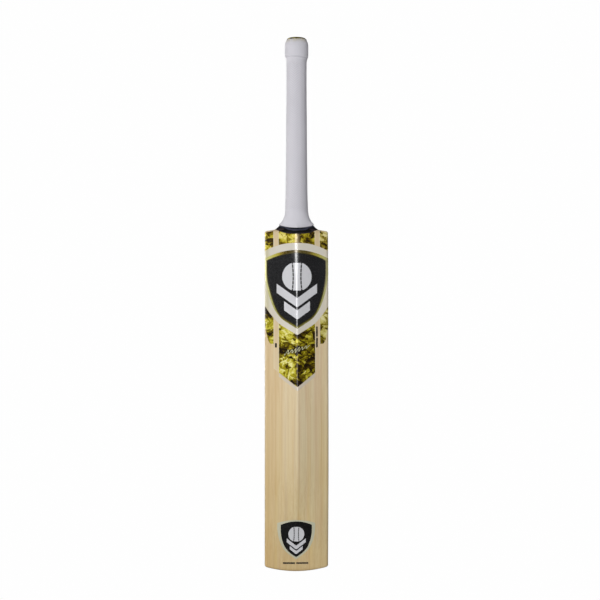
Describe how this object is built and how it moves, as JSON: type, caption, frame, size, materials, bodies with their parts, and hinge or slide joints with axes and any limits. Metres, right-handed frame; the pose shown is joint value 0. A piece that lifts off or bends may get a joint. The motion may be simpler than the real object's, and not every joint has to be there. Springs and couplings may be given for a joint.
{
  "type": "cricket bat",
  "caption": "Full-size cricket bat: willow blade with a spine, V-spliced laminated cane handle, neck tape, rubber grip and foil labels on the spine side.",
  "frame": {"origin": "middle of the bat's box at the lowest point of the toe; the handle axis is 11.5 mm towards +Y from it", "axes": "+Z from the toe to the handle end; the hitting face looks along +Y and the spine side along -Y; +X to the right when the spine side is seen with the handle up"},
  "size_m": [0.1046, 0.063, 0.88],
  "materials": {
    "willow": "bare willow, sanded and lightly burnished, straight grain along the blade",
    "cane": "planed cane laminations with fine pores",
    "spring_rubber": "matte natural rubber sheet",
    "glue": "thin amber wood glue line",
    "twine": "waxed linen twine",
    "neck_tape": "dark ribbed tape with a soft gloss",
    "grip_rubber": "matte pale grey rubber with a fine moulded texture",
    "gold_foil": "faceted metallic gold foil print under clear film",
    "stripe_film": "pale beige satin label film",
    "border_film": "off-white satin label film",
    "dark_film": "near-black satin label film",
    "silver_film": "light silver grey satin label film"
  },
  "bodies": {
    "root": {"blade": "willow", "cane_back_left": "cane", "cane_back_mid": "cane", "cane_back_right": "cane", "cane_inner_back_left": "cane", "cane_inner_back_mid": "cane", "cane_inner_back_right": "cane", "cane_inner_front_left": "cane", "cane_inner_front_mid": "cane", "cane_inner_front_right": "cane", "cane_front_left": "cane", "cane_front_mid": "cane", "cane_front_right": "cane", "spring_back": "spring_rubber", "spring_centre": "spring_rubber", "spring_front": "spring_rubber", "splice_glue": "glue", "handle_twine": "twine", "neck_tape": "neck_tape", "rubber_grip": "grip_rubber", "handle_end_label": "gold_foil", "shoulder_foil_left": "gold_foil", "shoulder_foil_centre": "gold_foil", "shoulder_foil_right": "gold_foil", "stripe_left": "stripe_film", "stripe_right": "stripe_film", "badge_border": "border_film", "badge_rim": "gold_foil", "badge_field": "dark_film", "badge_emblem": "silver_film", "wing_foil_left": "gold_foil", "wing_foil_right": "gold_foil", "panel_foil": "gold_foil", "panel_border": "border_film", "panel_flourish": "silver_film", "stripe_bars": "dark_film", "toe_badge_border": "border_film", "toe_badge_field": "dark_film", "toe_badge_emblem": "silver_film", "toe_bars": "dark_film"}
  },
  "joints": []
}
